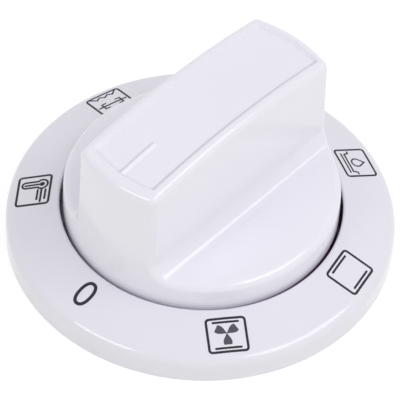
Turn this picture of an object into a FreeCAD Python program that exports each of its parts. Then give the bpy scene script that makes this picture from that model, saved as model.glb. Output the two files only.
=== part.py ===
import FreeCAD, Part
import math
import os

# Oven control knob: a bar grip knob that turns inside a fixed dial ring.
# Sizes are in millimetres and degrees. The origin is at the centre of the ring's back, +Z points out of the
# panel along the shaft, and the pointer lies towards -Y.

# Dial ring
ring_outer_diameter = 64.0
ring_hole_diameter = 46.3
ring_rim_height = 4.3
ring_hole_height = 7.05
ring_wall = 2.0
ring_draft = 1.5
ring_rim_radius = 2.0
ring_hole_edge_radius = 0.35
collar_setback = 1.6
collar_wall = 1.8
collar_bottom = 2.0
ring_rib_count = 14
ring_rib_thickness = 1.2
ring_rib_setback = 1.0

# Clearances between the ring and the knob, and from the knob to the panel behind
running_clearance = 0.55
captive_clearance = 0.4
back_clearance = 0.4

# Knob disc, skirt and flange
flange_overlap = 1.3
disc_height = 11.5
disc_edge_radius = 1.5
straight_skirt_height = 8.0
knob_draft = 1.9
knob_wall = 2.0

# Bar grip
grip_width = 15.7
grip_height = 30.5
grip_crown_radius = 131.0
grip_side_draft = 1.0
grip_root_radius = 3.0
grip_edge_radius = 1.2

# Recessed panel and pointer ridge on top of the grip
recess_depth = 0.55
recess_side_rim = 1.5
recess_end_rim = 1.65
recess_shift = 0.4
recess_draft = 50.0
pointer_length = 7.8
pointer_width = 1.15
pointer_top_width = 0.15
pointer_rise = 0.3

# Hub for a D-shaft, with a round mouth that is split so that the clip can close it
shaft_diameter = 6.0
shaft_across_flat = 4.6
mouth_clearance = 0.2
mouth_depth = 8.0
socket_clearance = 0.03
socket_depth = 7.0
hub_diameter = 10.4
hub_bottom = 1.0
hub_slot_width = 0.9
hub_slot_depth = 4.5
web_thickness = 1.6
web_clearance = 0.5

# Spring clip around the hub
clip_thickness = 0.5
clip_height = 2.6
clip_lip = 0.9
clip_groove_depth = 0.35
clip_clearance = 0.03
clip_opening = 60.0

# Values that follow from the sizes above
ring_radius = ring_outer_diameter / 2
hole_radius = ring_hole_diameter / 2
collar_inside = hole_radius + collar_setback
collar_radius = collar_inside + collar_wall
rim_top_radius = ring_radius - ring_rim_height * math.tan(math.radians(ring_draft))
skirt_radius = hole_radius - running_clearance
flange_radius = collar_inside + flange_overlap
flange_top = collar_bottom - captive_clearance
hub_radius = hub_diameter / 2
mouth_radius = shaft_diameter / 2 + mouth_clearance
mouth_top = hub_bottom + mouth_depth
socket_radius = shaft_diameter / 2 + socket_clearance
flat_offset = shaft_across_flat - shaft_diameter / 2 + socket_clearance
groove_radius = hub_radius - clip_groove_depth
groove_bottom = hub_bottom + clip_lip
web_bottom = hub_bottom + hub_slot_depth + web_clearance
above_knob = 2 * grip_height
reach = 2 * ring_outer_diameter
fine = 0.001

origin = FreeCAD.Vector(0, 0, 0)
shaft_axis = FreeCAD.Vector(0, 0, 1)

os.makedirs("parts", exist_ok=True)


def point(x, z):
    return FreeCAD.Vector(x, 0, z)


def outline(points):
    closed = points + points[:1]
    return [Part.LineSegment(a, b).toShape() for a, b in zip(closed, closed[1:])]


def face(edges):
    return Part.Face(Part.Wire(edges))


def turned(points, angle=360.0):
    # A solid of revolution about the shaft axis, from a closed outline of radius and height.
    return face(outline([point(r, z) for r, z in points])).revolve(origin, shaft_axis, angle)


def across(edges, length):
    # A prism along Y, centred, from an outline in the XZ plane.
    prism = face(edges).extrude(FreeCAD.Vector(0, length, 0))
    prism.translate(FreeCAD.Vector(0, -length / 2, 0))
    return prism


def block(width, length, low, high):
    return Part.makeBox(width, length, high - low, FreeCAD.Vector(-width / 2, -length / 2, low))


def spun(shape, angle):
    copy = shape.copy()
    copy.rotate(origin, shaft_axis, angle)
    return copy


def round_edges_at(shape, radius, height):
    found = []
    for edge in shape.Edges:
        if isinstance(edge.Curve, Part.Circle):
            off = abs(edge.Curve.Radius - radius) + abs(edge.Curve.Center.z - height)
            if off < fine:
                found.append(edge)
    return found


# Dial ring

def make_dial_ring():
    slope = (ring_hole_height - ring_rim_height) / (rim_top_radius - hole_radius)
    face_drop = ring_wall * math.sqrt(1 + slope * slope)
    inner_wall = ring_radius - ring_wall

    def underside(radius):
        return ring_rim_height + (rim_top_radius - radius) * slope - face_drop

    ring = turned([
        (ring_radius, 0), (rim_top_radius, ring_rim_height),
        (hole_radius, ring_hole_height), (hole_radius, underside(hole_radius)),
        (collar_inside, underside(collar_inside)), (collar_inside, collar_bottom),
        (collar_radius, collar_bottom), (collar_radius, underside(collar_radius)),
        (inner_wall, underside(inner_wall)), (inner_wall, 0)])
    ring = ring.makeFillet(ring_rim_radius, round_edges_at(ring, rim_top_radius, ring_rim_height))
    ring = ring.makeFillet(ring_hole_edge_radius, round_edges_at(ring, hole_radius, ring_hole_height))
    rib = ring_rib(inner_wall, underside)
    ribs = [spun(rib, (i + 0.5) * 360.0 / ring_rib_count) for i in range(ring_rib_count)]
    return ring.fuse(ribs).removeSplitter()


def ring_rib(inner_wall, underside):
    # One stiffening rib under the face, from the collar to the outer wall and sunk a little into both.
    sunk = ring_wall / 4
    start = collar_radius - sunk
    end = inner_wall + sunk
    section = outline([
        point(start, collar_bottom), point(collar_radius, collar_bottom),
        point(inner_wall, ring_rib_setback), point(end, ring_rib_setback),
        point(end, underside(end) + sunk), point(start, underside(start) + sunk)])
    return across(section, ring_rib_thickness)


# Outside of the knob

def knob_radius_at(height):
    return skirt_radius - max(0.0, height - straight_skirt_height) * math.tan(math.radians(knob_draft))


def grip_side_at(height):
    return grip_width / 2 + (grip_height - height) * math.tan(math.radians(grip_side_draft))


def under_crown(inset):
    # Everything below the lengthwise arch of the grip's top, lowered evenly by the inset.
    start = FreeCAD.Vector(-reach, 0, grip_height - grip_crown_radius)
    barrel = Part.makeCylinder(grip_crown_radius - inset, 2 * reach, start, FreeCAD.Vector(1, 0, 0))
    barrel.rotate(start, FreeCAD.Vector(1, 0, 0), 180)
    return barrel


def side_pocket():
    # What is taken away beside the grip: down its drafted side, round the root and out over the disc.
    draft = math.radians(grip_side_draft)
    tangent_height = disc_height + grip_root_radius * (1 - math.sin(draft))
    wall_top = point(grip_side_at(above_knob), above_knob)
    wall_foot = point(grip_side_at(tangent_height), tangent_height)
    centre = point(wall_foot.x + grip_root_radius * math.cos(draft), disc_height + grip_root_radius)
    halfway = (math.pi + draft + 1.5 * math.pi) / 2
    root_middle = centre + point(math.cos(halfway), math.sin(halfway)) * grip_root_radius
    root_foot = point(centre.x, disc_height)
    far_low = point(reach, disc_height)
    far_high = point(reach, above_knob)
    lines = [
        Part.LineSegment(wall_top, wall_foot), Part.Arc(wall_foot, root_middle, root_foot),
        Part.LineSegment(root_foot, far_low), Part.LineSegment(far_low, far_high),
        Part.LineSegment(far_high, wall_top)]
    return across([line.toShape() for line in lines], 2 * reach)


def knob_blank():
    blank = turned([
        (0, back_clearance), (flange_radius, back_clearance),
        (flange_radius, flange_top), (skirt_radius, flange_top),
        (skirt_radius, straight_skirt_height), (knob_radius_at(above_knob), above_knob), (0, above_knob)])
    pocket = side_pocket()
    return blank.common(under_crown(0)).cut([pocket, spun(pocket, 180)])


def rounded(blank):
    # Rounds the disc's rim, the grip's corners and its top edge. The radius eases from the disc's to the
    # grip's along the ends of the root.
    document = FreeCAD.newDocument("rounding")
    source = document.addObject("Part::Feature", "blank")
    source.Shape = blank
    rounding = document.addObject("Part::Fillet", "rounded")
    rounding.Base = source
    radii = []
    for number, edge in enumerate(blank.Edges, 1):
        if edge.BoundBox.ZMin < disc_height - fine or isinstance(edge.Curve, Part.Line):
            continue
        starts_low = edge.valueAt(edge.FirstParameter).z < disc_height + fine
        ends_low = edge.valueAt(edge.LastParameter).z < disc_height + fine
        first = disc_edge_radius if starts_low else grip_edge_radius
        last = disc_edge_radius if ends_low else grip_edge_radius
        radii.append((number, first, last))
    rounding.Edges = radii
    document.recompute()
    result = rounding.Shape.Solids[0].copy()
    FreeCAD.closeDocument(document.Name)
    return result


def over_crown(section, far, near):
    # A solid along the arch of the grip's top, between a far and a near distance from the shaft axis. Its
    # section is a closed outline of offset across the grip and depth below the crown.
    centre = point(0, grip_height - grip_crown_radius)
    across_grip = FreeCAD.Vector(1, 0, 0)
    far_angle, near_angle = [math.degrees(math.asin(d / grip_crown_radius)) for d in (far, near)]
    start = face(outline([point(x, grip_height - depth) for x, depth in section]))
    start.rotate(centre, across_grip, -far_angle)
    return start.revolve(centre, across_grip, far_angle + near_angle)


def recess_end():
    return knob_radius_at(grip_height) - recess_end_rim


def panel_recess():
    # The shallow pocket on top of the grip, with the pointer left standing in it. The floor and the long
    # walls follow the crown, and the end walls follow the round of the disc.
    flare = math.tan(math.radians(recess_draft))
    top_side = grip_width / 2 - recess_side_rim
    foot_side = top_side - recess_depth * flare
    above_side = top_side + knob_wall * flare
    arch = over_crown([
        (-foot_side, recess_depth), (foot_side, recess_depth),
        (above_side, -knob_wall), (-above_side, -knob_wall)], skirt_radius, skirt_radius)
    crown_drop = grip_crown_radius - math.sqrt(grip_crown_radius ** 2 - recess_end() ** 2)
    rise = crown_drop + knob_wall
    end_height = grip_height - crown_drop
    ends = turned([
        (0, end_height - knob_wall), (recess_end() - knob_wall * flare, end_height - knob_wall),
        (recess_end() + rise * flare, end_height + rise), (0, end_height + rise)])
    ends.translate(FreeCAD.Vector(0, recess_shift, 0))
    return arch.common(ends).cut(pointer_ridge())


def pointer_ridge():
    # The ridge in the panel, from the wall of its near end towards the middle.
    lean = (pointer_width - pointer_top_width) / 2 / pointer_rise
    foot = pointer_width / 2 + lean * knob_wall / 2
    foot_depth = recess_depth + knob_wall / 2
    top_depth = recess_depth - pointer_rise
    near = recess_end() - recess_shift
    section = [
        (-foot, foot_depth), (foot, foot_depth),
        (pointer_top_width / 2, top_depth), (-pointer_top_width / 2, top_depth)]
    return over_crown(section, pointer_length - near, near)


# Inside of the knob

def cavity():
    inside_radius = skirt_radius - knob_wall
    ceiling = disc_height - knob_wall
    low = ceiling - knob_wall
    under_disc = Part.makeCylinder(inside_radius, ceiling)
    low_side = grip_side_at(low) - knob_wall
    high_side = grip_side_at(above_knob) - knob_wall
    in_grip = across(outline([
        point(-low_side, low), point(low_side, low),
        point(high_side, above_knob), point(-high_side, above_knob)]), 2 * reach)
    ends = turned([
        (0, low), (knob_radius_at(low) - knob_wall, low),
        (knob_radius_at(above_knob) - knob_wall, above_knob), (0, above_knob)])
    return under_disc.fuse(in_grip.common(ends).common(under_crown(recess_depth + knob_wall)))


def hub_and_web():
    hub = Part.makeCylinder(hub_radius, above_knob, FreeCAD.Vector(0, 0, hub_bottom))
    web = block(2 * skirt_radius, web_thickness, web_bottom, above_knob)
    return hub.fuse(web)


def hub_cuts():
    # The round mouth that guides the shaft, the socket with its flat, the slots that split the mouth, and
    # the groove that the clip sits in.
    mouth = Part.makeCylinder(mouth_radius, mouth_top)
    socket = Part.makeCylinder(socket_radius, mouth_top + socket_depth)
    beyond_flat = Part.makeBox(2 * reach, reach, above_knob, FreeCAD.Vector(-reach, flat_offset, 0))
    slot = block(hub_slot_width, 2 * hub_diameter, 0, hub_bottom + hub_slot_depth)
    groove_top = groove_bottom + clip_height + 2 * clip_clearance
    groove = turned([
        (groove_radius, groove_bottom), (hub_diameter, groove_bottom), (hub_diameter, groove_top),
        (groove_radius, groove_top)])
    return [mouth, socket.cut(beyond_flat), slot, groove]


def make_knob_body():
    outside = rounded(knob_blank()).cut(panel_recess())
    hollow = cavity().cut(hub_and_web())
    return outside.cut(hollow).removeSplitter().cut(hub_cuts())


# Spring clip

def make_shaft_clip():
    inner = groove_radius + clip_clearance
    outer = inner + clip_thickness
    low = groove_bottom + clip_clearance
    high = low + clip_height
    band = turned([(inner, low), (outer, low), (outer, high), (inner, high)], 360.0 - clip_opening)
    return spun(band, clip_opening / 2 - 90)


pieces = {"dial_ring": make_dial_ring(), "knob_body": make_knob_body(), "shaft_clip": make_shaft_clip()}
for name, shape in pieces.items():
    shape.exportStep("parts/" + name + ".step")
    print(name, "solids", len(shape.Solids), "valid", shape.isValid(), "volume", round(shape.Volume, 1))
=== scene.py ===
import math

import bmesh
import bpy
from mathutils import Matrix, Vector
from mathutils.bvhtree import BVHTree


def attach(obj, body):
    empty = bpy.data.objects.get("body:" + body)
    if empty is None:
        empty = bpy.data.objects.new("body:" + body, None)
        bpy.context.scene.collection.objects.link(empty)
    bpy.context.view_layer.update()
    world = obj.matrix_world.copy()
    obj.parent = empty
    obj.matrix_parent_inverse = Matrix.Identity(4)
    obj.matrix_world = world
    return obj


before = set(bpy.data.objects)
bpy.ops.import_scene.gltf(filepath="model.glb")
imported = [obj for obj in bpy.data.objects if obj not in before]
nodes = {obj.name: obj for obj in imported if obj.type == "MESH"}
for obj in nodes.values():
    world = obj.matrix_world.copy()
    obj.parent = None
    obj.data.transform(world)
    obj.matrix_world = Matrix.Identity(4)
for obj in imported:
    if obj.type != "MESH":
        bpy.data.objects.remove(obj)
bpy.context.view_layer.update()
scene = bpy.context.scene
mm = 0.001  # the scene is in metres
noiseSpan = (0.3, 0.7)  # most of a noise texture's values lie between these
print("frame loaded:", ", ".join(sorted(nodes)))


def linearColour(hexText):
    # sRGB hex to the linear values that shaders work in
    channels = [int(hexText[i:i + 2], 16) / 255 for i in (1, 3, 5)]
    return [c / 12.92 if c <= 0.04045 else ((c + 0.055) / 1.055) ** 2.4 for c in channels] + [1.0]


def addNode(tree, kind, inputs, **settings):
    # one node with its settings; an input is a plain value or the socket that feeds it
    node = tree.nodes.new(kind)
    for name, value in settings.items():
        setattr(node, name, value)
    for name, value in inputs.items():
        if isinstance(value, bpy.types.NodeSocket):
            tree.links.new(value, node.inputs[name])
        else:
            node.inputs[name].default_value = value
    return node


def emptyMaterial(name):
    material = bpy.data.materials.new(name)
    material.use_nodes = True
    material.node_tree.nodes.clear()
    return material, material.node_tree


def calculate(tree, operation, *values):
    return addNode(tree, "ShaderNodeMath", dict(enumerate(values)), operation=operation).outputs[0]


def mixColours(tree, share, first, second):
    # a Mix node takes colours at its inputs 6 and 7 and gives the mix at its output 2
    return addNode(tree, "ShaderNodeMix", {0: share, 6: first, 7: second}, data_type="RGBA").outputs[2]


def softLimit(tree, value, limit, soft):
    # 0 at the limit and 1 from a soft width further on, sizes in mm; a soft width below 0 goes the other way
    return addNode(tree, "ShaderNodeMapRange", {
        "Value": value, "From Min": limit * mm, "From Max": (limit + soft) * mm}).outputs[0]


def softBand(tree, value, middle, reach, soft):
    # 1 around the middle, down to 0 at the reach, sizes in mm
    away = calculate(tree, "SUBTRACT", value, middle * mm)
    return softLimit(tree, calculate(tree, "ABSOLUTE", away), reach, -soft)


def makeGloss(tree, noise, finish):
    # roughness that follows the noise from the finish's smooth to its dull
    return addNode(tree, "ShaderNodeMapRange", {
        "Value": noise, "From Min": noiseSpan[0], "From Max": noiseSpan[1],
        "To Min": finish["smooth"], "To Max": finish["dull"]}).outputs[0]


def makeBump(tree, height, depth):
    return addNode(tree, "ShaderNodeBump", {
        "Height": height, "Strength": 1.0, "Distance": depth * mm}).outputs[0]


# ABS, injection moulded in a polished tool. White with a cool cast, sharp reflections, a slow drift of tint
# where the melt flowed, and a faint orange peel that softens the highlights. Painted shade, a dark violet
# colour, lies in the slot between knob and ring, heavier on the side away from the off mark. There the slot
# reads as a dark violet line, and on the other side it is paler. Painted shade on the recess's long wall
# towards +X, and less of it on the pointer ridge, draws both a little darker. Sizes are in mm.
ringAbs = {"name": "mouldedAbsRing", "pale": "#E6E4EE", "deep": "#E1DFE9", "seed": 2.0,
           "shadeTop": 6.55, "shadeLean": 0.32}
knobAbs = {"name": "mouldedAbsKnob", "pale": "#ECEAF4", "deep": "#E8E6F0", "seed": 7.0,
           "shadeTop": 6.3, "shadeLean": 0.0}
mouldedAbs = {"ior": 1.54, "smooth": 0.07, "dull": 0.12,
              "flow": 14.0, "flowDetail": 2.0, "flowRoughness": 0.45, "flowSwirl": 0.8,
              "haze": 6.0, "hazeDetail": 3.0, "hazeSeed": 3.0,
              "peel": 1.4, "peelDetail": 1.0, "peelRoughness": 0.3, "peelDepth": 0.0012}
# painted shade in the slot between knob and ring: dark violet, heavier on the side away from the off mark
slotShade = {"hex": "#855F88", "foot": 1.4, "inner": 21.4, "hole": 23.15, "outer": 25.3, "soft": 0.12,
            "thickSide": (0.09, 0.996, 0), "thinAt": -14.0, "thickAt": 1.0, "thin": 0.06}
# painted shade on the recess's long wall towards +X and, less of it, on the pointer ridge
recessShade = {"hex": "#D8D6E0", "above": 28.0, "soft": 0.08,
              "wall": 5.9, "wallReach": 0.44, "wallSoft": 0.24, "wallMiddle": 0.4, "wallHalf": 19.25,
              "ridgeReach": 0.62, "ridgeMiddle": -15.9, "ridgeHalf": 3.9, "ridgeShare": 0.62}


def makeSlotShade(tree, axes, finish):
    # how much painted shade lies, more towards the darker side, and kept in the slot by four soft limits
    plan = addNode(tree, "ShaderNodeCombineXYZ", {"X": axes["X"], "Y": axes["Y"]}).outputs[0]
    radius = addNode(tree, "ShaderNodeVectorMath", {0: plan}, operation="LENGTH").outputs["Value"]
    across = addNode(tree, "ShaderNodeVectorMath", {
        0: plan, 1: slotShade["thickSide"]}, operation="DOT_PRODUCT").outputs["Value"]
    film = addNode(tree, "ShaderNodeMapRange", {
        "Value": across, "From Min": slotShade["thinAt"] * mm, "From Max": slotShade["thickAt"] * mm,
        "To Min": slotShade["thin"]}).outputs[0]
    # the upper limit is a height that leans with the ring's sloping face
    level = calculate(tree, "MULTIPLY_ADD", radius, finish["shadeLean"], axes["Z"])
    levelTop = finish["shadeTop"] + finish["shadeLean"] * slotShade["hole"]
    soft = slotShade["soft"]
    for value, limit, inwards in ((level, levelTop, -soft), (axes["Z"], slotShade["foot"], soft),
                                  (radius, slotShade["inner"], soft), (radius, slotShade["outer"], -soft)):
        film = calculate(tree, "MULTIPLY", film, softLimit(tree, value, limit, inwards))
    return film


def makeRecessShade(tree, axes):
    # how much painted shade lies on the recess's long wall towards +X and, less of it, on the pointer ridge
    shadeSpec, soft = recessShade, recessShade["soft"]
    wall = calculate(
        tree, "MULTIPLY", softBand(tree, axes["X"], shadeSpec["wall"], shadeSpec["wallReach"], shadeSpec["wallSoft"]),
        softBand(tree, axes["Y"], shadeSpec["wallMiddle"], shadeSpec["wallHalf"], soft))
    ridge = calculate(
        tree, "MULTIPLY", softBand(tree, axes["X"], 0, shadeSpec["ridgeReach"], soft),
        softBand(tree, axes["Y"], shadeSpec["ridgeMiddle"], shadeSpec["ridgeHalf"], soft))
    thinner = calculate(tree, "MULTIPLY", ridge, shadeSpec["ridgeShare"])
    return calculate(
        tree, "MULTIPLY", calculate(tree, "MAXIMUM", wall, thinner),
        softLimit(tree, axes["Z"], shadeSpec["above"], soft))


def makeMouldedAbs(finish):
    material, tree = emptyMaterial(finish["name"])
    place = addNode(tree, "ShaderNodeTexCoord", {}).outputs["Object"]
    axes = addNode(tree, "ShaderNodeSeparateXYZ", {"Vector": place}).outputs
    flow = addNode(tree, "ShaderNodeTexNoise", {
        "Vector": place, "W": finish["seed"], "Scale": 1 / (mouldedAbs["flow"] * mm),
        "Detail": mouldedAbs["flowDetail"], "Roughness": mouldedAbs["flowRoughness"],
        "Distortion": mouldedAbs["flowSwirl"]}, noise_dimensions="4D").outputs[0]
    haze = addNode(tree, "ShaderNodeTexNoise", {
        "Vector": place, "W": finish["seed"] + mouldedAbs["hazeSeed"], "Scale": 1 / (mouldedAbs["haze"] * mm),
        "Detail": mouldedAbs["hazeDetail"]}, noise_dimensions="4D").outputs[0]
    peel = addNode(tree, "ShaderNodeTexNoise", {
        "Vector": place, "Scale": 1 / (mouldedAbs["peel"] * mm), "Detail": mouldedAbs["peelDetail"],
        "Roughness": mouldedAbs["peelRoughness"]}).outputs[0]
    tint = mixColours(tree, flow, linearColour(finish["deep"]), linearColour(finish["pale"]))
    # painted shade: the recess's wall towards +X and the pointer ridge are mixed towards a darker grey violet
    recessShaded = mixColours(tree, makeRecessShade(tree, axes), tint, linearColour(recessShade["hex"]))
    # painted shade: the slot between knob and ring is mixed towards dark violet
    shaded = mixColours(tree, makeSlotShade(tree, axes, finish), recessShaded, linearColour(slotShade["hex"]))
    shell = addNode(tree, "ShaderNodeBsdfPrincipled", {
        "Base Color": shaded, "Roughness": makeGloss(tree, haze, mouldedAbs), "IOR": mouldedAbs["ior"],
        "Normal": makeBump(tree, peel, mouldedAbs["peelDepth"])})
    addNode(tree, "ShaderNodeOutputMaterial", {"Surface": shell.outputs[0]})
    return material


# Two-part ink, pad printed on the ring and air dried. A dark violet grey film, duller than the plastic, with
# a fine mottle from the pad. Lines print full, and the fan's wide blades print thinner and so look paler. The
# real mottle is under 0.1 mm and is drawn at 0.35 mm so that it shows.
lineInk = {"name": "padPrintedInk", "thin": "#2E2B38", "full": "#211E2B"}
bladeInk = {"name": "padPrintedInkThin", "thin": "#56525E", "full": "#4A4653"}
printInk = {"ior": 1.38, "smooth": 0.34, "dull": 0.5, "film": 0.004,
            "mottle": 0.35, "mottleDetail": 2.0, "mottleRoughness": 0.6}


def makePrintInk(ink):
    material, tree = emptyMaterial(ink["name"])
    place = addNode(tree, "ShaderNodeTexCoord", {}).outputs["Object"]
    mottle = addNode(tree, "ShaderNodeTexNoise", {
        "Vector": place, "Scale": 1 / (printInk["mottle"] * mm), "Detail": printInk["mottleDetail"],
        "Roughness": printInk["mottleRoughness"]}).outputs[0]
    tone = mixColours(tree, mottle, linearColour(ink["full"]), linearColour(ink["thin"]))
    shell = addNode(tree, "ShaderNodeBsdfPrincipled", {
        "Base Color": tone, "Roughness": makeGloss(tree, mottle, printInk), "IOR": printInk["ior"],
        "Normal": makeBump(tree, mottle, printInk["film"])})
    addNode(tree, "ShaderNodeOutputMaterial", {"Surface": shell.outputs[0]})
    return material


# Spring steel, cold rolled strip, hardened and bent to a ring. Grey with fine lines along the strip and a
# faint straw tint in patches from tempering.
springStrip = {"name": "rolledSpringSteel", "bright": "#B4B6BA", "straw": "#A59C8C",
               "smooth": 0.22, "dull": 0.42,
               "line": 0.12, "run": 6.0, "lineDetail": 3.0, "lineRoughness": 0.6, "lineDepth": 0.002,
               "patch": 5.0, "patchDetail": 2.0, "strawFrom": 0.45, "strawFull": 0.75, "strawMost": 0.6}


def makeSpringSteel():
    material, tree = emptyMaterial(springStrip["name"])
    place = addNode(tree, "ShaderNodeTexCoord", {}).outputs["Object"]
    along = 1 / (springStrip["run"] * mm)
    across = 1 / (springStrip["line"] * mm)
    stretched = addNode(tree, "ShaderNodeMapping", {"Vector": place, "Scale": (along, along, across)})
    lines = addNode(tree, "ShaderNodeTexNoise", {
        "Vector": stretched.outputs[0], "Scale": 1.0, "Detail": springStrip["lineDetail"],
        "Roughness": springStrip["lineRoughness"]}).outputs[0]
    patch = addNode(tree, "ShaderNodeTexNoise", {
        "Vector": place, "Scale": 1 / (springStrip["patch"] * mm), "Detail": springStrip["patchDetail"]})
    straw = addNode(tree, "ShaderNodeMapRange", {
        "Value": patch.outputs[0], "From Min": springStrip["strawFrom"], "From Max": springStrip["strawFull"],
        "To Max": springStrip["strawMost"]}).outputs[0]
    tone = mixColours(tree, straw, linearColour(springStrip["bright"]), linearColour(springStrip["straw"]))
    shell = addNode(tree, "ShaderNodeBsdfPrincipled", {
        "Base Color": tone, "Metallic": 1.0, "Roughness": makeGloss(tree, lines, springStrip),
        "Normal": makeBump(tree, lines, springStrip["lineDepth"])})
    addNode(tree, "ShaderNodeOutputMaterial", {"Surface": shell.outputs[0]})
    return material


def dress(node, material):
    nodes[node].data.materials.clear()
    nodes[node].data.materials.append(material)


dress("dial_ring", makeMouldedAbs(ringAbs))
dress("knob_body", makeMouldedAbs(knobAbs))
dress("shaft_clip", makeSpringSteel())
lineMaterial, bladeMaterial = makePrintInk(lineInk), makePrintInk(bladeInk)
print("materials made")


# The dial's print. Flat sizes in mm: x to the right and y outwards, seen with the ring's rim at the top.
dialPrint = {"places": 7, "firstAngle": 269.2, "radius": 27.5, "slope": 17.75, "castFrom": 50.0,
             "above": 0.022, "below": 0.012, "fine": 0.29, "plain": 0.36, "bold": 0.56, "spacing": 0.4,
             "mitreLimit": 0.45, "capAngles": (75, 50, 25), "dotAngles": range(-80, 81, 16), "arcSteps": 12}
ringTree = BVHTree.FromObject(nodes["dial_ring"], bpy.context.evaluated_depsgraph_get())


def arc(centre, radius, start, end, count=dialPrint["arcSteps"]):
    angles = [math.radians(start + (end - start) * k / count) for k in range(count + 1)]
    return [(centre[0] + radius * math.cos(a), centre[1] + radius * math.sin(a)) for a in angles]


def inkRow(spot, side, reach):
    # the left and right point of a stroke at one spot
    return spot + side * reach, spot - side * reach


def stroke(points, width, closed=False):
    # rows along a line of ink, with mitred corners and round ends
    path = []
    for start, end in zip(points, points[1:] + points[:1] if closed else points[1:]):
        start, end = Vector(start), Vector(end)
        parts = max(1, math.ceil((end - start).length / dialPrint["spacing"]))
        path += [start.lerp(end, k / parts) for k in range(parts)]
    if not closed:
        path.append(Vector(points[-1]))
    rows, half, last = [], width / 2, len(path) - 1
    capAngles = [math.radians(a) for a in dialPrint["capAngles"]]
    cap = [(half * math.sin(a), half * math.cos(a)) for a in capAngles]
    for i, spot in enumerate(path):
        cameFrom = path[i - 1] if closed or i > 0 else spot * 2 - path[1]
        goesTo = path[(i + 1) % len(path)] if closed or i < last else spot * 2 - path[last - 1]
        entering, leaving = (spot - cameFrom).normalized(), (goesTo - spot).normalized()
        heading = (entering + leaving).normalized()
        side = Vector((-heading.y, heading.x))
        if not closed and i == 0:
            rows += [inkRow(spot - heading * far, side, reach) for far, reach in cap]
        rows.append(inkRow(spot, side, half / max(dialPrint["mitreLimit"], heading.dot(leaving))))
        if not closed and i == last:
            rows += [inkRow(spot + heading * far, side, reach) for far, reach in reversed(cap)]
    return rows, closed


def filled(start, angle, profile):
    # a filled shape along an axis, from its half width at each distance
    axis = Vector((math.cos(math.radians(angle)), math.sin(math.radians(angle))))
    side = Vector((-axis.y, axis.x))
    return [inkRow(Vector(start) + axis * far, side, half) for far, half in profile], False


def dot(centre, radius):
    angles = [math.radians(a) for a in dialPrint["dotAngles"]]
    return filled(centre, 0, [(radius * math.sin(a), radius * math.cos(a)) for a in angles])


def printSymbol(name, place, strokes, material=lineMaterial):
    # closed films of ink on the sloping face, each point dropped straight down on the ring
    turn = math.radians(dialPrint["firstAngle"] + place * 360 / dialPrint["places"])
    outwards = Vector((math.cos(turn), math.sin(turn), 0))
    rightwards = Vector((outwards.y, -outwards.x, 0))
    down = Vector((0, 0, -1))
    foreshort = math.cos(math.radians(dialPrint["slope"]))
    build = bmesh.new()
    for rows, closed in strokes:
        film = []
        for row in rows:
            for flat in row:
                plan = outwards * (dialPrint["radius"] + flat.y * foreshort) + rightwards * flat.x
                hit, normal = ringTree.ray_cast((plan - down * dialPrint["castFrom"]) * mm, down)[:2]
                film.append(build.verts.new(hit + normal * dialPrint["above"] * mm))
                film.append(build.verts.new(hit - normal * dialPrint["below"] * mm))
        # each row has four corners: left top, left foot, right top, right foot
        corners = [film[i:i + 4] for i in range(0, len(film), 4)]
        for here, ahead in zip(corners, corners[1:] + corners[:1] if closed else corners[1:]):
            for a, b in ((0, 2), (2, 3), (3, 1), (1, 0)):
                build.faces.new((here[a], here[b], ahead[b], ahead[a]))
        if not closed:
            for end in (corners[0], corners[-1]):
                build.faces.new([end[k] for k in (0, 2, 3, 1)])
    bmesh.ops.recalc_face_normals(build, faces=build.faces)
    mesh = bpy.data.meshes.new(name)
    build.to_mesh(mesh)
    build.free()
    mesh.materials.append(material)
    symbol = bpy.data.objects.new(name, mesh)
    scene.collection.objects.link(symbol)
    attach(symbol, "dial")


border = {"halfWidth": 3.08, "halfHeight": 2.79, "corner": 0.5, "cornerSteps": 6, "line": 0.4}


def windowBorder(line=border["line"]):
    # the oven window that frames each symbol
    across, up = border["halfWidth"] - border["corner"], border["halfHeight"] - border["corner"]
    points = []
    for quarter, (x, y) in enumerate(((across, up), (-across, up), (-across, -up), (across, -up))):
        points += arc((x, y), border["corner"], quarter * 90, quarter * 90 + 90, border["cornerSteps"])
    return stroke(points, line, closed=True)


def heatBars(bars):
    # bars across the window, each from its height and half length
    return [stroke([(-half, height), (half, height)], dialPrint["plain"]) for height, half in bars]


zero = {"centre": -0.63, "halfWidth": 1.12, "halfHeight": 2.03, "power": 2.3, "steps": 40}


def zeroLoop():
    points = []
    for k in range(zero["steps"]):
        angle = math.radians(k * 360 / zero["steps"])
        c, s = math.cos(angle), math.sin(angle)
        x = math.copysign(abs(c) ** (2 / zero["power"]), c) * zero["halfWidth"]
        y = math.copysign(abs(s) ** (2 / zero["power"]), s) * zero["halfHeight"]
        points.append((x, zero["centre"] + y))
    return stroke(points, dialPrint["bold"], closed=True)


fine, plain = dialPrint["fine"], dialPrint["plain"]
printSymbol("symbolOff", 0, [zeroLoop()])

fan = {"bars": ((2.17, 2.0), (-2.17, 2.0)), "hub": (0, -0.28), "angles": (90, 210, 330),
       "blade": ((0.0, 0.03), (0.4, 0.25), (0.8, 0.5), (1.2, 0.67), (1.5, 0.71), (1.75, 0.67), (1.9, 0.62))}
fanBlades = [filled(fan["hub"], angle, fan["blade"]) for angle in fan["angles"]]
printSymbol("symbolFan", 1, [windowBorder()] + heatBars(fan["bars"]))
printSymbol("symbolFanBlades", 1, fanBlades, bladeMaterial)

heat = {"bars": ((2.12, 2.05), (-2.12, 2.05))}
printSymbol("symbolHeat", 2, [windowBorder()] + heatBars(heat["bars"]))

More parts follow.
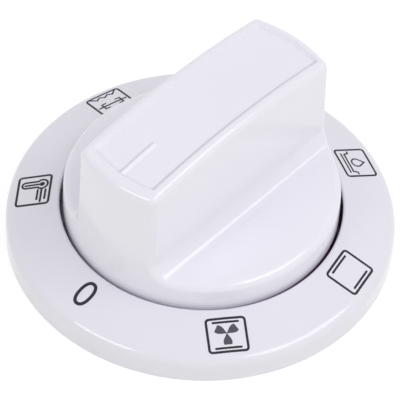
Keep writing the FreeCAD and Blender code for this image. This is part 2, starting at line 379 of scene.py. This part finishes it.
drop = {"centre": (0, 0.22), "radius": 0.86, "steps": 24, "tip": (0, 1.7), "shoulder": 35.5, "line": 0.27,
        "tray": [(-2.58, -0.48), (-2.2, -0.55), (-2.02, -1.27), (2.02, -1.27), (2.2, -0.55), (2.58, -0.48)],
        "shelf": [(-2.2, -1.85), (2.2, -1.85)]}
dropBelly = arc(drop["centre"], drop["radius"], 180 - drop["shoulder"], 360 + drop["shoulder"], drop["steps"])
printSymbol("symbolDrop", 3, [
    windowBorder(plain), stroke([drop["tip"]] + dropBelly, drop["line"], closed=True),
    stroke(drop["tray"], fine), stroke(drop["shelf"], drop["line"])])

base = {"bars": ((-2.15, 2.05),)}
printSymbol("symbolBase", 4, [windowBorder()] + heatBars(base["bars"]))

grill = {"heater": [(-2.45, 2.62), (-1.5, 1.68), (-0.8, 2.22), (0, 1.65), (0.8, 2.22), (1.5, 1.68),
                    (2.45, 2.62)],
         "spit": [(-2.55, -0.87), (2.6, -0.87)],
         "forks": ([(-0.95, -0.1), (-1.7, -0.1), (-1.7, -1.62), (-0.95, -1.62)],
                   [(1.0, -0.1), (1.75, -0.1), (1.75, -1.62), (1.0, -1.62)])}
printSymbol("symbolGrill", 5, [
    windowBorder(plain), stroke(grill["heater"], fine), stroke(grill["spit"], plain)] + [
    stroke(fork, fine) for fork in grill["forks"]])

probe = {"bulb": (1.23, -1.33), "bulbRadius": 0.95, "bulbSteps": 24, "neck": 41.5, "dot": 0.45,
         "capCentre": (1.23, 1.5), "tube": 0.63, "rodTop": (1.18, 1.6),
         "waves": ((-2.06, -0.01, -0.70), (-2.57, 0.07, -1.33), (-2.03, -0.07, -2.05))}
probeBulb = arc(
    probe["bulb"], probe["bulbRadius"], 90 + probe["neck"], 450 - probe["neck"], probe["bulbSteps"])
probeCap = arc(probe["capCentre"], probe["tube"], 0, 180)
printSymbol("symbolProbe", 6, [
    windowBorder(), stroke(probeBulb + probeCap, plain, closed=True), dot(probe["bulb"], probe["dot"]),
    stroke([probe["rodTop"], probe["bulb"]], plain)] + [
    stroke([(left, height), (right, height)], plain) for left, right, height in probe["waves"]])
print("dial printed:", dialPrint["places"], "symbols")


# Camera at the photograph's angle, for a square picture. Lengths in mm, clip in metres.
photoCamera = {"azimuth": 39.938, "elevation": 48.325, "roll": 3.014, "distance": 421.996, "lens": 230.14,
               "sensor": 36.0, "aim": (-2.301, 2.378, 2.938), "clip": (0.01, 20)}
azimuth, elevation, roll = (math.radians(photoCamera[k]) for k in ("azimuth", "elevation", "roll"))
rightAxis = Vector((math.cos(azimuth), math.sin(azimuth), 0))
awayAxis = Vector((-math.sin(azimuth), math.cos(azimuth), 0))
backAxis = Vector((0, 0, math.sin(elevation))) - awayAxis * math.cos(elevation)
upAxis = backAxis.cross(rightAxis)
cameraX = rightAxis * math.cos(roll) + upAxis * math.sin(roll)
cameraY = upAxis * math.cos(roll) - rightAxis * math.sin(roll)
cameraData = bpy.data.cameras.new("photoCamera")
cameraData.lens = photoCamera["lens"]
cameraData.sensor_width = photoCamera["sensor"]
cameraData.clip_start, cameraData.clip_end = photoCamera["clip"]
camera = bpy.data.objects.new("photoCamera", cameraData)
scene.collection.objects.link(camera)
camera.matrix_world = Matrix.Translation(
    (Vector(photoCamera["aim"]) + backAxis * photoCamera["distance"]) * mm) @ Matrix(
    (cameraX, cameraY, backAxis)).transposed().to_4x4()
scene.camera = camera
print("camera placed")


# Studio: a pale floor, a white room that is a little brighter behind the object, and two soft boxes, long and
# on the right, small and low on the left. Directions are to the right, away and up as the camera sees them.
softBoxes = {
    "rightSoftBox": {"towards": (0.572, -0.268, 0.775), "edge": (0.136, 0.991, 0), "far": 1500,
                     "size": (1440, 490), "radiance": 3.25},
    "leftSoftBox": {"towards": (-0.62, -0.545, 0.564), "edge": (0.66, -0.75, 0), "far": 1500,
                    "size": (760, 400), "radiance": 4.3}}
studio = {"brightSide": (0.42, 0.906, -0.06), "bright": 0.825, "dim": 0.525, "floorHex": "#F5F7EE",
          "floorGlow": 0.74, "floorShade": 0.34, "floorReach": 1500}
white = (1, 1, 1, 1)


def studioDirection(right, away, up):
    return rightAxis * right + awayAxis * away + Vector((0, 0, up))


def seenDirectly(tree):
    # 1 for what the camera, a reflection or a see-through part looks at, 0 for what only lights
    rays = addNode(tree, "ShaderNodeLightPath", {}).outputs
    either = calculate(tree, "MAXIMUM", rays["Is Camera Ray"], rays["Is Glossy Ray"])
    return calculate(tree, "MAXIMUM", either, rays["Is Transmission Ray"])


def setBox(name, box):
    lamp = bpy.data.lights.new(name, "AREA")
    lamp.shape = "RECTANGLE"
    lamp.size, lamp.size_y = (side * mm for side in box["size"])
    lamp.energy = box["radiance"] * math.pi * lamp.size * lamp.size_y
    towards = studioDirection(*box["towards"]).normalized()
    edge = studioDirection(*box["edge"])
    edge = (edge - towards * edge.dot(towards)).normalized()
    holder = bpy.data.objects.new(name, lamp)
    scene.collection.objects.link(holder)
    holder.matrix_world = Matrix.Translation(towards * box["far"] * mm) @ Matrix(
        (edge, towards.cross(edge), towards)).transposed().to_4x4()
    holder.visible_camera = False


for name, box in softBoxes.items():
    setBox(name, box)

# the room lights as a soft gradient, and looks plain white
room = bpy.data.worlds.new("whiteRoom")
room.use_nodes = True
roomTree = room.node_tree
roomTree.nodes.clear()
heading = addNode(roomTree, "ShaderNodeTexCoord", {}).outputs["Generated"]
facing = addNode(roomTree, "ShaderNodeVectorMath", {
    0: heading, 1: studioDirection(*studio["brightSide"])}, operation="DOT_PRODUCT")
level = addNode(roomTree, "ShaderNodeMapRange", {
    "Value": facing.outputs["Value"], "From Min": -1.0, "From Max": 1.0,
    "To Min": studio["dim"], "To Max": studio["bright"]})
fill = addNode(roomTree, "ShaderNodeBackground", {"Color": white, "Strength": level.outputs[0]})
plainWhite = addNode(roomTree, "ShaderNodeBackground", {"Color": white, "Strength": 1.0})
walls = addNode(roomTree, "ShaderNodeMixShader", {
    0: seenDirectly(roomTree), 1: fill.outputs[0], 2: plainWhite.outputs[0]})
addNode(roomTree, "ShaderNodeOutputWorld", {"Surface": walls.outputs[0]})
scene.world = room

# the floor lights as matte paper, and looks white with soft shadows
floorMaterial, floorTree = emptyMaterial("paleStudioFloor")
matte = addNode(floorTree, "ShaderNodeBsdfDiffuse", {"Color": linearColour(studio["floorHex"])})
shade = addNode(floorTree, "ShaderNodeBsdfDiffuse", {"Color": [studio["floorShade"]] * 3 + [1]})
glow = addNode(floorTree, "ShaderNodeEmission", {"Strength": studio["floorGlow"]})
whiteFloor = addNode(floorTree, "ShaderNodeAddShader", {0: shade.outputs[0], 1: glow.outputs[0]})
floorLook = addNode(floorTree, "ShaderNodeMixShader", {
    0: seenDirectly(floorTree), 1: matte.outputs[0], 2: whiteFloor.outputs[0]})
addNode(floorTree, "ShaderNodeOutputMaterial", {"Surface": floorLook.outputs[0]})
half = studio["floorReach"] * mm
floorCorners = [(-half, -half, 0), (half, -half, 0), (half, half, 0), (-half, half, 0)]
floorMesh = bpy.data.meshes.new("studioFloor")
floorMesh.from_pydata(floorCorners, [], [(0, 1, 2, 3)])
floorMesh.materials.append(floorMaterial)
floor = bpy.data.objects.new("studioFloor", floorMesh)
scene.collection.objects.link(floor)
scene.view_settings.view_transform = "Standard"
print("studio lit")
